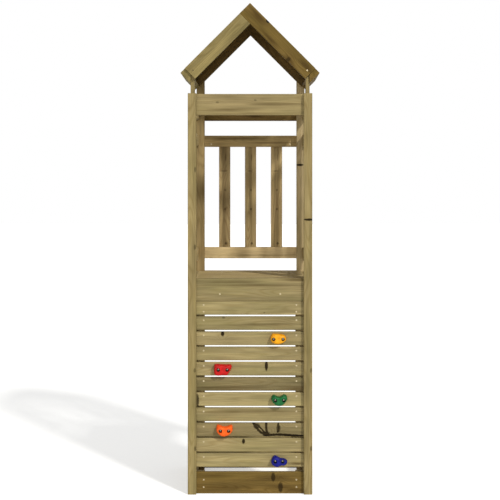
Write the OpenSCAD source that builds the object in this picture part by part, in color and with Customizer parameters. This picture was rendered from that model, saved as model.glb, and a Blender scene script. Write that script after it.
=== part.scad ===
// Narrow wooden climbing tower: a slatted climbing wall with moulded holds,
// a deck with a railing on three sides, and a small gable roof.
// X runs across the wall, +Y runs from the wall to the back, +Z is up.
// The origin lies on the ground at the middle of the whole outline.

/* [Overall] */
// Width over the cover battens
tower_w = 525; // [480:5:700]
// Depth from the front of the front covers to the back of the rear covers
tower_d = 465; // [400:5:700]
// Height of the deck's walking surface
deck_z = 910; // [900:5:960]

/* [Timber] */
// Thickness of every planed board
board_t = 16; // [12:1:22]
// Width of the narrow boards: uprights and slats
slat_w = 57.6; // [50:0.1:59]
// Width of the wide boards: headers
wide_w = 90; // [70:1:110]
// Height of the bottom boards
bottom_h = 92; // [70:1:104]
// Size of the eased long edges
ease = 2; // [0.5:0.5:4]

/* [Corners] */
// Width of the cover battens
cover_w = 36; // [30:1:44]
// How far the cover battens rise above the headers
cover_rise = 2; // [0:1:10]
// Depth of the front uprights, measured front to back
upright_d = 58; // [50:1:70]
// Side of the square rear posts
post_w = 36; // [32:1:40]
// How far the rear posts stand in from the outer edges of the covers
post_inset = 15.5; // [12:0.5:20]

/* [Climbing wall] */
// Open gap between two slats
slat_gap = 6.7; // [4:0.1:8]
// Height of the wall's top board
top_board_h = 96.3; // [80:0.1:98]
// Joint between the top board and the first slat
top_joint = 0.4; // [0.2:0.1:6]
// Width of the battens that the slats are screwed to
batten_w = 44; // [38:1:60]
// Thickness of those battens
batten_t = 20; // [16:1:30]

/* [Headers and railing] */
// Top edge of the headers
header_top = 1690; // [1660:2:1700]
// Top edge of the railing
rail_top = 1532; // [1450:2:1560]
// Gap between the deck and the lower edge of the railing
rail_gap = 56; // [50:2:110]
// Width of the railing's boards
rail_w = 52; // [44:1:60]
// Number of upright slats in each side of the railing
rail_slat_n = 3; // [2:1:4]
// Distance between two slats of the rear railing, middle to middle
rail_slat_pitch = 120; // [100:1:130]
// Distance between two slats of a side railing, middle to middle
side_slat_pitch = 82; // [70:1:84]

/* [Deck] */
// Number of deck boards
deck_board_n = 4; // [3:1:5]
// Gap between two deck boards
deck_gap = 8.3; // [4:0.1:12]
// Distance from the middle to a deck joist
joist_x = 128; // [100:1:150]
// Width of a joist
joist_w = 36; // [24:1:44]
// Height of a joist
joist_h = 90; // [60:1:94]
// Width of the cleats under the ends of the deck boards
cleat_w = 20; // [16:1:24]
// Height of those cleats
cleat_h = 44; // [30:1:60]

/* [Roof] */
// Height of the upper edge of the eaves
eave_z = 1780; // [1750:5:1900]
// How far the eaves reach beyond the covers on each side
eave_overhang = 32.5; // [26:0.5:60]
// Width of the gable boards
gable_w = 62; // [54:1:66]
// Thickness of the eave boards
eave_t = 26; // [18:1:30]
// Depth of the eave boards, square to the slope
eave_d = 58; // [44:1:62]
// How far the front ends of the eave boards lie behind the gable boards
eave_inset = 8; // [2:1:12]
// Number of roof boards on each slope
roof_board_n = 6; // [4:1:7]
// Gap between two roof boards
roof_gap = 1.5; // [0.5:0.5:4]

/* [Holds] */
// How far a hold stands out from the wall
hold_out = 30; // [24:1:40]
// Depth from the wall to the seat of a bolt head
bolt_seat = 12; // [8:1:18]
// Diameter of the hold bolts
bolt_d = 6; // [5:1:8]
// Diameter of the bolt heads
bolt_head_d = 10; // [9:0.5:12]
// Height of the bolt heads
bolt_head_h = 5; // [4:0.5:6]
// Width of the nuts across flats
nut_af = 10; // [10:0.5:13]
// Thickness of the nuts
nut_t = 5; // [4:0.5:7]

/* [Fasteners] */
// Diameter of the screws' shanks
screw_d = 4; // [3:0.5:5]
// Length of the screws that join a board to the timber behind it
screw_l = 40; // [30:1:50]
// Length of the short screws through two thin boards
short_screw_l = 28; // [22:1:30]
// Diameter of the screw heads
screw_head_d = 7; // [6:0.5:8]
// Height of the screw heads
screw_head_h = 2.4; // [1.6:0.1:3]
// How far a visible head stands proud of the board
head_proud = 0.4; // [0:0.1:0.8]
// Diameter of the dowels in the side joints
dowel_d = 8; // [6:1:10]
// Length of a dowel
dowel_l = 40; // [30:1:50]

/* [Fits] */
// Radial clearance of a screw, bolt or dowel in its hole
hole_clear = 0.1; // [0.05:0.05:0.3]
// End clearance where a board is let in between two others
end_clear = 1; // [0.5:0.5:3]

/* [Hidden] */
slat_n = 11; // one node for each slat

pine = [0.62, 0.55, 0.38];
pine_dark = [0.45, 0.38, 0.22];
pine_warm = [0.56, 0.48, 0.32];
steel = [0.75, 0.74, 0.70];
$fn = 32;
bite = 1; // extra length of a cutter beyond the face it cuts

// Planes across the tower, from front to back
cover_front = -tower_d / 2;
wall_front = cover_front + board_t;
wall_back = wall_front + board_t;
upright_back = wall_back + upright_d;
batten_back = wall_back + batten_t;
cover_back = tower_d / 2;
rear_back = cover_back - board_t;
rear_front = rear_back - board_t;
post_front = rear_front - post_w;
gable_back_front = post_front - board_t;

// Planes across the width: the cover battens are centred on the uprights
upright_mid = tower_w / 2 - cover_w / 2;
side_out = upright_mid + board_t / 2;
side_in = side_out - board_t;
post_out = tower_w / 2 - post_inset;
post_in = post_out - post_w;

// Levels
slat_pitch = slat_w + slat_gap;
first_slat_top = deck_z - top_board_h - top_joint;
deck_under = deck_z - board_t;
header_bottom = header_top - wide_w;
cover_h = header_top + cover_rise;
rail_bottom = deck_z + rail_gap;
rail_low_top = rail_bottom + rail_w;
rail_high_bottom = rail_top - rail_w;
rim_h = top_board_h;

// Roof: both slopes stand at 45 degrees
slope = 45;
eave_x = tower_w / 2 + eave_overhang;
ridge_z = eave_z + eave_x;
roof_l = eave_x / cos(slope);
gable_l = roof_l - eave_t;
roof_board_w = (gable_l - (roof_board_n - 1) * roof_gap) / roof_board_n;
roof_under = ridge_z - board_t / cos(slope);
post_head = ridge_z - gable_w / 4;
roof_front = wall_front;
roof_back = post_front;

// The holds stand out further than the covers, so the whole tower is set
// back by half of the difference and the outline stays centred
frame_shift = (hold_out - board_t) / 2;
module placed() translate([0, frame_shift, 0]) children();

// Screws, each written as [head point, axis, length, proud].
// The head point lies on the face of the board and axis points into the wood.
function into(axis) = axis == "back" ? [0, 1, 0] : axis == "front" ? [0, -1, 0]
    : axis == "right" ? [1, 0, 0] : axis == "left" ? [-1, 0, 0] : [0, 0, -1];
function turn(axis) = axis == "back" ? [-90, 0, 0] : axis == "front" ? [90, 0, 0]
    : axis == "right" ? [0, 90, 0] : axis == "left" ? [0, -90, 0] : [180, 0, 0];

function slat_top(n) = first_slat_top - (n - 1) * slat_pitch;
function slat_mid(n) = slat_top(n) - slat_w / 2;
function deck_y(i) = wall_back + i * (deck_board_w + deck_gap);
deck_board_w = (rear_front - wall_back - (deck_board_n - 1) * deck_gap) / deck_board_n;

// Screw lines
batten_screw_x = side_in - batten_w + 3.5;
batten_screw_l = screw_l - 6;
screw_drop = 15.5; // from a slat's top edge to its screw
second_drop = 44;  // the first slat has a second screw lower down
post_screw_x = post_in + 8;
joist_screw_drop = 66; // from the deck to a screw that enters a joist
joist_screw_z = deck_z - joist_screw_drop;
rail_screw_inset = 30; // from a rear post to the screw in the top rail
rail_screw_x = post_in - rail_screw_inset;
rail_screw_z = rail_top - rail_w * 0.75;
rail_mids = [rail_top - rail_w / 2, rail_bottom + rail_w / 2];
bottom_screw_zs = [bottom_h * 0.3, bottom_h * 0.64];
cleat_screw_z = deck_under - cleat_h * 0.7;
cleat_screw_l = cleat_w + board_t - 3;
cleat_screw_pitch = 110;
post_pair = 9; // half the distance between the two screws in a post's head
sides = [-1, 1];
pair_inset = 22; // two screws in one board stand this far from its edges

function pair(top, h) = [top - pair_inset, top - h + pair_inset];

wall_list = concat(
    [for (n = [1:slat_n], s = sides)
        [[s * batten_screw_x, wall_front, slat_top(n) - screw_drop], "back", batten_screw_l, head_proud]],
    [for (s = sides)
        [[s * batten_screw_x, wall_front, slat_top(1) - second_drop], "back", batten_screw_l, head_proud]],
    [for (s = sides) [[s * joist_x, wall_front, joist_screw_z], "back", screw_l, head_proud]],
    [for (s = sides, z = bottom_screw_zs)
        [[s * batten_screw_x, wall_front, z], "back", batten_screw_l, head_proud]],
    // these heads lie flush under the cover battens
    [for (s = sides, z = concat(pair(header_top, wide_w), pair(deck_z, top_board_h),
                                pair(bottom_h, bottom_h)))
        [[s * upright_mid, wall_front, z], "back", screw_l, 0]]);

rear_list = concat(
    [for (s = sides, z = concat(pair(header_top, wide_w), pair(deck_z, rim_h), pair(bottom_h, bottom_h)))
        [[s * post_screw_x, rear_back, z], "front", screw_l, head_proud]],
    [for (s = sides, z = concat([slat_mid(slat_n)], rail_mids))
        [[s * post_screw_x, rear_back, z], "front", screw_l, head_proud]],
    [for (s = sides) [[s * joist_x, rear_back, joist_screw_z], "front", screw_l, head_proud]],
    [for (i = [0:rail_slat_n - 1], z = rail_mids)
        [[rear_slat_x(i), cover_back, z], "front", short_screw_l, head_proud]],
    [for (s = sides) [[s * rail_screw_x, rear_front, rail_screw_z], "back", board_t - 3, head_proud]]);

function rear_slat_x(i) = (i - (rail_slat_n - 1) / 2) * rail_slat_pitch;
side_mid_y = (upright_back + post_front) / 2;
function side_slat_y(i) = side_mid_y + (i - (rail_slat_n - 1) / 2) * side_slat_pitch;

side_list = concat(
    [for (s = sides, i = [0:rail_slat_n - 1], z = rail_mids)
        [[s * (side_out + board_t), side_slat_y(i), z], s < 0 ? "right" : "left", short_screw_l, head_proud]],
    [for (s = sides, k = [-1:1])
        [[s * (side_in - cleat_w), side_mid_y + k * cleat_screw_pitch, cleat_screw_z],
         s < 0 ? "left" : "right", cleat_screw_l, head_proud]]);

deck_list = [for (i = [0:deck_board_n - 1], x = [joist_x, side_in - cleat_w / 2], s = sides)
    [[s * x, deck_y(i) + (i == deck_board_n - 1 ? deck_board_w / 4 : deck_board_w / 2), deck_z],
     "down", screw_l, head_proud]];

gable_mid_drop = gable_w / 2 / cos(slope);
gable_screw_x = upright_mid - 3;
roof_list = concat(
    [for (s = sides) [[s * gable_screw_x, wall_front, ridge_z - gable_screw_x - gable_mid_drop],
                      "back", screw_l, head_proud]],
    [for (s = sides, x = [post_out - post_w / 2 - post_pair, post_out - post_w / 2 + post_pair])
        [[s * x, gable_back_front, ridge_z - x - gable_mid_drop], "back", screw_l, head_proud]]);

all_screws = concat(wall_list, rear_list, side_list, deck_list, roof_list);

// Dowels lie along Y, two in each end of a side board, written as their middles
dowel_zs = concat(pair(header_top, wide_w), pair(deck_z, rim_h), pair(bottom_h, bottom_h),
    [rail_top - rail_w * 0.25, rail_top - rail_w * 0.75,
     rail_bottom + rail_w * 0.25, rail_bottom + rail_w * 0.75]);
dowel_x = (side_in + min(side_out, post_out)) / 2;
dowel_list = [for (s = sides, y = [upright_back, post_front], z = dowel_zs) [s * dowel_x, y, z]];

module screw_body(s, grow = 0) {
    translate(s[0]) rotate(turn(s[1])) {
        translate([0, 0, screw_head_h - s[3]]) cylinder(d = screw_d + 2 * grow, h = s[2] - screw_head_h);
        translate([0, 0, grow > 0 ? -bite : -s[3]])
            cylinder(d = screw_head_d + 2 * grow, h = screw_head_h + (grow > 0 ? bite - s[3] : 0));
    }
}

// True where the box around a screw or dowel meets the box from lo to hi
function meets(a, b, lo, hi) =
    let (r = screw_head_d)
    min([for (k = [0:2]) min(max(a[k], b[k]) + r - lo[k], hi[k] - min(a[k], b[k]) + r)]) > 0;

module drill(lo, hi) {
    for (s = all_screws)
        if (meets(s[0], s[0] + into(s[1]) * s[2], lo, hi)) screw_body(s, hole_clear);
    for (d = dowel_list)
        if (meets(d - [0, dowel_l / 2, 0], d + [0, dowel_l / 2, 0], lo, hi))
            translate(d - [0, dowel_l / 2 + hole_clear, 0]) rotate([-90, 0, 0])
                cylinder(d = dowel_d + 2 * hole_clear, h = dowel_l + 2 * hole_clear);
}

// Section of a planed board with its long edges eased
module eased(w, h, e) {
    polygon([[e, 0], [w - e, 0], [w, e], [w, h - e], [w - e, h], [e, h], [0, h - e], [0, e]]);
}

// Planed bar from corner lo to corner hi, eased along its longest side
module bar(lo, hi) {
    s = hi - lo;
    e = min(ease, min(s) / 4);
    if (s[2] >= max(s[0], s[1])) translate(lo) linear_extrude(s[2]) eased(s[0], s[1], e);
    else if (s[0] >= s[1]) translate(lo) rotate([90, 0, 90]) linear_extrude(s[0]) eased(s[1], s[2], e);
    else translate([lo[0], hi[1], lo[2]]) rotate([90, 0, 0]) linear_extrude(s[1]) eased(s[0], s[2], e);
}

// Bar with every screw and dowel hole that reaches it
module board(lo, hi, tone = pine) {
    color(tone) placed() difference() {
        bar(lo, hi);
        drill(lo, hi);
    }
}

// The same board on one side of the tower: side -1 is left, 1 is right
module side_board(side, x0, x1, y0, y1, z0, z1, tone = pine) {
    board([min(side * x0, side * x1), y0, z0], [max(side * x0, side * x1), y1, z1], tone);
}

// Space below a pair of slopes that meet at height peak
module below_slopes(peak) {
    reach = 2 * eave_x;
    translate([0, tower_d, 0]) rotate([90, 0, 0]) linear_extrude(2 * tower_d)
        polygon([[-reach, -1], [reach, -1], [reach, peak - reach], [0, peak], [-reach, peak - reach]]);
}

// Corners

module front_upright(side) {
    intersection() {
        side_board(side, side_in, side_out, wall_back, upright_back, 0, ridge_z);
        placed() below_slopes(roof_under);
    }
}

module front_cover(side) {
    side_board(side, upright_mid - cover_w / 2, upright_mid + cover_w / 2, cover_front, wall_front,
        0, cover_h);
}

module rear_post(side) {
    intersection() {
        side_board(side, post_in, post_out, post_front, rear_front, 0, ridge_z);
        placed() below_slopes(post_head);
    }
}

module rear_covers() {
    for (s = sides)
        side_board(s, upright_mid - cover_w / 2, upright_mid + cover_w / 2, rear_back, cover_back,
            0, cover_h);
}

// Boards of the front and the back

module front_board(z0, z1, tone = pine) {
    board([-side_out, wall_front, z0], [side_out, wall_back, z1], tone);
}

module rear_board(z0, z1, tone = pine) {
    board([-side_out, rear_front, z0], [side_out, rear_back, z1], tone);
}

// Board of a side, let in between the upright and the rear post
module side_infill(side, z0, z1, tone = pine) {
    side_board(side, side_in, side_out, upright_back, post_front, z0, z1, tone);
}

module front_header() { front_board(header_bottom, header_top); }
module rear_header() { rear_board(header_bottom, header_top, pine_dark); }
module side_headers() { for (s = sides) side_infill(s, header_bottom, header_top); }
module front_bottom_board() { front_board(0, bottom_h, pine_dark); }
module rear_bottom_board() { rear_board(0, bottom_h); }
module rear_lower_board() { rear_board(slat_top(slat_n) - slat_w, slat_top(slat_n)); }

// Climbing wall

module wall_top_board() { front_board(deck_z - top_board_h, deck_z); }

// Slat n, counted from the top, drilled for the bolts of the hold that it carries
module wall_slat(n) {
    difference() {
        front_board(slat_top(n) - slat_w, slat_top(n), n % 4 == 1 ? pine_warm : pine);
        placed() for (h = holds) if (h[0] == n) bolt_holes(h, bolt_d + 2 * hole_clear);
    }
}

// Two battens behind the slats, and a block below each one behind the bottom board
module wall_battens() {
    for (s = sides, z = [[0, bottom_h], [slat_top(slat_n) - slat_w, deck_under]])
        side_board(s, side_in - batten_w, side_in, wall_back, batten_back, z[0], z[1], pine_dark);
}

// Railing

module rear_top_rail() { rear_board(rail_high_bottom, rail_top, pine_dark); }
module rear_lower_rail() { rear_board(rail_bottom, rail_low_top); }

module rear_railing_slats() {
    for (i = [0:rail_slat_n - 1])
        board([rear_slat_x(i) - rail_w / 2, rear_back, rail_bottom],
              [rear_slat_x(i) + rail_w / 2, cover_back, rail_top], pine_warm);
}

module side_rails(side) {
    side_infill(side, rail_high_bottom, rail_top);
    side_infill(side, rail_bottom, rail_low_top);
}

module side_railing_slats(side) {
    for (i = [0:rail_slat_n - 1])
        side_board(side, side_out, side_out + board_t, side_slat_y(i) - rail_w / 2,
            side_slat_y(i) + rail_w / 2, rail_bottom, rail_top, pine_warm);
}

// Deck

module deck_boards() {
    for (i = [0:deck_board_n - 1])
        difference() {
            board([-side_in + end_clear, deck_y(i), deck_under],
                  [side_in - end_clear, deck_y(i) + deck_board_w, deck_z]);
            // notches round the rear posts
            if (i == deck_board_n - 1) placed() for (s = sides)
                translate([s > 0 ? post_in - end_clear : -post_out, post_front - end_clear, deck_under - bite])
                    cube([post_w + end_clear, post_w + end_clear + bite, board_t + 2 * bite]);
        }
}

module deck_joists() {
    for (s = sides)
        side_board(s, joist_x - joist_w / 2, joist_x + joist_w / 2, wall_back, rear_front,
            deck_under - joist_h, deck_under, pine_dark);
}

module deck_cleats() {
    for (s = sides)
        side_board(s, side_in - cleat_w, side_in, batten_back, post_front,
            deck_under - cleat_h, deck_under, pine_dark);
}

// Rim boards round the back and the two sides of the deck
module deck_rims() {
    rear_board(deck_z - rim_h, deck_z);
    for (s = sides) side_infill(s, deck_z - rim_h, deck_z);
}

// Roof

// Lays a shape drawn along the right slope: local x runs down the slope from
// the ridge, local y runs square to it into the roof, and it reaches back from y0 to y1
module on_slope(side, y0, y1) {
    placed() mirror([side < 0 ? 1 : 0, 0, 0]) translate([0, y1, ridge_z]) rotate([90, 0, 0])
        linear_extrude(y1 - y0) rotate(-slope) mirror([0, 1]) children();
}

// A gable board: the right one runs through to the ridge and the left one butts under it
module gable_board(side, y0, y1, tone) {
    start = side > 0 ? 0 : gable_w;
    color(tone) difference() {
        on_slope(side, y0, y1) translate([start, 0]) square([gable_l - start, gable_w]);
        placed() drill([-eave_x, y0, deck_z], [eave_x, y1, ridge_z]);
    }
}

module eave_board(side) {
    color(pine) difference() {
        on_slope(side, roof_front + eave_inset, roof_back)
            translate([gable_l, 0]) square([eave_t, eave_d]);
        // notch round the front upright
        placed() translate([side > 0 ? 0 : -side_out, roof_front - bite, deck_z])
            cube([side_out, upright_back - roof_front + bite, ridge_z]);
    }
}

module roof_boards(side) {
    start = side > 0 ? 0 : board_t;
    color(pine_dark) on_slope(side, wall_back, gable_back_front)
        for (i = [0:roof_board_n - 1]) {
            from = i == 0 ? start : i * (roof_board_w + roof_gap);
            translate([from, 0]) square([i * (roof_board_w + roof_gap) + roof_board_w - from, board_t]);
        }
}

// Holds, each written as [slat, middle of its two bolts, bolt spacing, lobes].
// A lobe is [x, z, radius, share of the hold's depth], measured from the bolts' middle.
yellow_lobes = [[-20, -6, 13, 0.94], [20, -6, 13, 0.92], [-11, 5, 14, 1], [11, 4, 14, 0.98], [0, -9, 14, 0.96]];
red_lobes = [[-25, 8, 13, 0.94], [26, 7, 12, 0.9], [-9, -9, 18, 1], [13, -8, 16, 0.96], [0, 6, 14, 0.92]];
green_lobes = [[-19, 8, 13, 0.94], [18, 9, 14, 0.97], [-9, -8, 16, 1], [9, -9, 16, 0.92]];
orange_lobes = [[-19, 7, 13, 0.95], [19, 7, 14, 0.98], [-11, -7, 15, 0.92], [9, -8, 15, 1]];
blue_lobes = [[-17, 6, 16, 1], [23, 3, 11, 0.9], [-7, -9, 14, 0.95], [13, -9, 13, 0.93]];
holds = [
    [3, 119.2, 39.7, yellow_lobes],
    [5, -114.9, 37.2, red_lobes],
    [7, 124.3, 35.5, green_lobes],
    [9, -107.3, 34.6, orange_lobes],
    [11, 121.7, 31.3, blue_lobes]];

// A hold's bolt lines, from the front of the hold to behind the wall
module bolt_holes(h, d) {
    for (s = sides)
        translate([h[1] + s * h[2] / 2, wall_front - hold_out - bite, slat_mid(h[0])])
            rotate([-90, 0, 0]) cylinder(d = d, h = hold_out + board_t + 2 * bite);
}

// One lobe: upright at the wall, then sloping in towards its front
module lobe(c, mid_x, mid_z) {
    r = c[2];
    d = c[3] * hold_out;
    translate([mid_x + c[0], wall_front, mid_z + c[1]]) rotate([90, 0, 0]) rotate_extrude()
        polygon([[0, 0], [r, 0], [r, 0.35 * d], [0.85 * r, 0.75 * d], [0.55 * r, d], [0, d]]);
}

module hold(k, tone) {
    h = holds[k];
    head_hole = bolt_head_d + 1;
    color(tone) placed() difference() {
        for (c = h[3]) lobe(c, h[1], slat_mid(h[0]));
        bolt_holes(h, bolt_d + 2 * hole_clear);
        for (s = sides)
            translate([h[1] + s * h[2] / 2, wall_front - bolt_seat, slat_mid(h[0])])
                rotate([90, 0, 0]) cylinder(d = head_hole, h = hold_out);
    }
}

module hold_bolts() {
    color(steel) placed() for (h = holds, s = sides)
        translate([h[1] + s * h[2] / 2, wall_front - bolt_seat, slat_mid(h[0])]) {
            rotate([90, 0, 0]) cylinder(d = bolt_head_d, h = bolt_head_h);
            rotate([-90, 0, 0]) cylinder(d = bolt_d, h = bolt_seat + board_t + nut_t + 1);
        }
}

module hold_nuts() {
    color(steel) placed() for (h = holds, s = sides)
        translate([h[1] + s * h[2] / 2, wall_back, slat_mid(h[0])]) rotate([-90, 0, 0])
            difference() {
                cylinder(d = nut_af / cos(30), h = nut_t, $fn = 6);
                translate([0, 0, -bite]) cylinder(d = bolt_d + 2 * hole_clear, h = nut_t + 2 * bite);
            }
}

// Fasteners

module screw_set(list) { color(steel) placed() for (s = list) screw_body(s); }

module side_dowels() {
    color(pine_warm) placed() for (d = dowel_list)
        translate(d - [0, dowel_l / 2, 0]) rotate([-90, 0, 0]) cylinder(d = dowel_d, h = dowel_l);
}

front_upright(-1);  // front_left_upright
front_upright(1);  // front_right_upright
front_cover(-1);  // front_left_cover
front_cover(1);  // front_right_cover
rear_post(-1);  // rear_left_post
rear_post(1);  // rear_right_post
rear_covers();
front_header();
rear_header();
side_headers();
wall_top_board();
wall_slat(1);  // wall_slat_1
wall_slat(2);  // wall_slat_2
wall_slat(3);  // wall_slat_3
wall_slat(4);  // wall_slat_4
wall_slat(5);  // wall_slat_5
wall_slat(6);  // wall_slat_6
wall_slat(7);  // wall_slat_7
wall_slat(8);  // wall_slat_8
wall_slat(9);  // wall_slat_9
wall_slat(10);  // wall_slat_10
wall_slat(11);  // wall_slat_11
wall_battens();
front_bottom_board();
rear_bottom_board();
side_infill(-1, 0, bottom_h);  // left_bottom_board
side_infill(1, 0, bottom_h);  // right_bottom_board
rear_lower_board();
rear_top_rail();
rear_lower_rail();
rear_railing_slats();
side_rails(-1);  // left_rails
side_railing_slats(-1);  // left_railing_slats
side_rails(1);  // right_rails
side_railing_slats(1);  // right_railing_slats
deck_boards();
deck_joists();
deck_cleats();
deck_rims();
gable_board(-1, wall_front, wall_back, pine);  // front_left_gable_board
gable_board(1, wall_front, wall_back, pine_dark);  // front_right_gable_board
gable_board(-1, gable_back_front, post_front, pine_dark);  // rear_left_gable_board
gable_board(1, gable_back_front, post_front, pine_dark);  // rear_right_gable_board
eave_board(-1);  // left_eave_board
eave_board(1);  // right_eave_board
roof_boards(-1);  // left_roof_boards
roof_boards(1);  // right_roof_boards
hold(0, [0.95, 0.65, 0.05]);  // yellow_hold
hold(1, [0.85, 0.12, 0.08]);  // red_hold
hold(2, [0.10, 0.50, 0.20]);  // green_hold
hold(3, [0.98, 0.42, 0.05]);  // orange_hold
hold(4, [0.08, 0.12, 0.65]);  // blue_hold
hold_bolts();
hold_nuts();
screw_set(wall_list);  // wall_screws
screw_set(rear_list);  // rear_screws
screw_set(side_list);  // side_screws
screw_set(deck_list);  // deck_screws
screw_set(roof_list);  // roof_screws
side_dowels();
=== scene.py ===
# Narrow wooden climbing tower: a slatted wall with five moulded holds, a railed deck and a gable roof.
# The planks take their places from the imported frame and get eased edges, grain, knots and cracks here.
import math

import bmesh
import bpy
from mathutils import Matrix, Vector, noise


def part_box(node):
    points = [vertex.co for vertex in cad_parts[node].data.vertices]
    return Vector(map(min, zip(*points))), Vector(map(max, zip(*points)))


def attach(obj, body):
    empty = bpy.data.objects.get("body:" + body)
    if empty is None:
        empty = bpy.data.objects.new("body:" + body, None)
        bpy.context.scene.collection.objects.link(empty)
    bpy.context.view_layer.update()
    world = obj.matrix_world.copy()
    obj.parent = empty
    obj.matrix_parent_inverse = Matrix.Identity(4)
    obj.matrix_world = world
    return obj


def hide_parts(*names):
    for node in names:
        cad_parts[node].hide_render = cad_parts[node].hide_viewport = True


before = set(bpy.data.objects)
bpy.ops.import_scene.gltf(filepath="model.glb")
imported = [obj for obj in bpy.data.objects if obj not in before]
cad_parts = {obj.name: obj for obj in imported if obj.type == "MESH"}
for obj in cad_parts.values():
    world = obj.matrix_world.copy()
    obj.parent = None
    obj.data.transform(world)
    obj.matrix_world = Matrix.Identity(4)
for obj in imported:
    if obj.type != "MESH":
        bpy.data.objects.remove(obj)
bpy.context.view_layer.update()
print("frame loaded with", len(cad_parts), "nodes")

scene = bpy.context.scene
scene.view_settings.view_transform = "Standard"
millimetre = 0.001


def linear(red, green, blue):  # a colour as read off a screen, 0 to 255, turned into scene values
    def channel(value):
        share = value / 255
        return share / 12.92 if share < 0.04045 else ((share + 0.055) / 1.055) ** 2.4
    return (channel(red), channel(green), channel(blue), 1)


viewpoint = {
    "place": (0.026, -4.8075, 1.312),  # eye height 1.31 m, 4.6 m in front of the wall
    "lens": 78.3,
    "shiftX": -0.0124,
    "shiftY": -0.1334,
}


def makeCamera():
    data = bpy.data.cameras.new("viewCamera")
    data.sensor_width = 36
    data.lens = viewpoint["lens"]
    data.shift_x = viewpoint["shiftX"]
    data.shift_y = viewpoint["shiftY"]
    camera = bpy.data.objects.new("viewCamera", data)
    scene.collection.objects.link(camera)
    camera.location = viewpoint["place"]
    camera.rotation_euler = (math.radians(90), 0, 0)
    scene.camera = camera


makeCamera()
print("camera set")


def addNode(tree, kind, inputs=None, **settings):
    made = tree.nodes.new(kind)
    for key, value in settings.items():
        setattr(made, key, value)
    for key, value in (inputs or {}).items():
        socket = made.inputs[key]
        if isinstance(value, bpy.types.NodeSocket):
            tree.links.new(value, socket)
        else:
            socket.default_value = value
    return made


def calc(tree, operation, first, second=0.0, third=0.0, clamp=False):
    made = addNode(tree, "ShaderNodeMath", {0: first, 1: second, 2: third}, operation=operation)
    made.use_clamp = clamp
    return made.outputs[0]


def vectorCalc(tree, operation, first, second=(0, 0, 0), third=(0, 0, 0)):
    made = addNode(tree, "ShaderNodeVectorMath", {0: first, 1: second, 2: third}, operation=operation)
    return made.outputs["Value" if operation in ("LENGTH", "DOT_PRODUCT", "DISTANCE") else "Vector"]


def stretchedNoise(tree, place, stretch, detail=2.0, roughness=0.55):
    moved = vectorCalc(tree, "MULTIPLY", place, stretch)
    made = addNode(tree, "ShaderNodeTexNoise",
                   {"Vector": moved, "Scale": 1.0, "Detail": detail, "Roughness": roughness})
    return made.outputs


def spread(tree, value, low, high, toLow=0.0, toHigh=1.0):  # maps a range on to another one
    made = addNode(tree, "ShaderNodeMapRange",
                   {"Value": value, "From Min": low, "From Max": high, "To Min": toLow, "To Max": toHigh})
    return made.outputs["Result"]


def blendColour(tree, share, first, second, kind="MIX"):
    made = addNode(tree, "ShaderNodeMix", {0: share, 6: first, 7: second},
                   data_type="RGBA", blend_type=kind)
    return made.outputs[2]


def swing(tree, value, amount):  # turns a pattern from 0 to 1 into a push to both sides
    return calc(tree, "MULTIPLY", calc(tree, "SUBTRACT", value, 0.5), amount)


def bell(tree, value):  # 1 at the middle, falling off smoothly
    return calc(tree, "POWER", 2.718, calc(tree, "MULTIPLY", calc(tree, "MULTIPLY", value, value), -1.0))


def freshMaterial(name):
    made = bpy.data.materials.new(name)
    made.use_nodes = True
    made.node_tree.nodes.clear()
    tree = made.node_tree
    shader = addNode(tree, "ShaderNodeBsdfPrincipled")
    output = addNode(tree, "ShaderNodeOutputMaterial")
    tree.links.new(shader.outputs[0], output.inputs[0])
    return made, tree, shader


# Pressure-treated pine. Each finish has its early wood, its late wood and the tint that weather leaves,
# how strong the growth rings show, and the share of the places that stay clear of a stray knot.
woodFinishes = {
    "wallPine": {"early": (176, 159, 114), "late": (142, 122, 74), "tint": (156, 146, 97), "lines": 0.55,
                 "clear": 0.72},
    "coverPine": {"early": (174, 155, 107), "late": (138, 118, 69), "tint": (153, 140, 90), "lines": 0.65,
                  "clear": 0.8},
    "headerPine": {"early": (178, 159, 113), "late": (142, 121, 74), "tint": (156, 143, 96), "lines": 0.55,
                   "clear": 0.8},
    "brownPine": {"early": (132, 108, 58), "late": (90, 69, 27), "tint": (108, 92, 42), "lines": 0.6,
                  "clear": 0.6},
    # the two darker copies of the pine here are painted shade for rear parts that sit in the roof's shade
    "paintedShadeDarkPine": {"early": (122, 100, 60), "late": (80, 61, 31), "tint": (98, 80, 40), "lines": 0.6,
                 "clear": 0.5},
    "gablePine": {"early": (150, 134, 88), "late": (116, 99, 56), "tint": (129, 118, 74), "lines": 0.6,
                  "clear": 0.75},
    "shadePine": {"early": (172, 149, 103), "late": (130, 106, 66), "tint": (148, 130, 86), "lines": 0.65,
                  "clear": 0.6},
    # the next two are lighter copies of the pine: painted light on the rear post and lower rail, which sit
    # in the roof's shade
    "paintedLightPostPine": {"early": (194, 174, 132), "late": (150, 128, 88), "tint": (170, 153, 110), "lines": 0.65,
                 "clear": 0.6},
    "slatPine": {"early": (182, 160, 115), "late": (132, 106, 72), "tint": (150, 133, 92), "lines": 0.75,
                 "clear": 0.35},
    "paintedLightRailPine": {"early": (222, 198, 150), "late": (184, 156, 108), "tint": (200, 180, 132), "lines": 0.5,
                 "clear": 0.8},
    "deckPine": {"early": (188, 167, 118), "late": (150, 127, 80), "tint": (166, 149, 102), "lines": 0.55,
                 "clear": 0.7},
}
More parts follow.
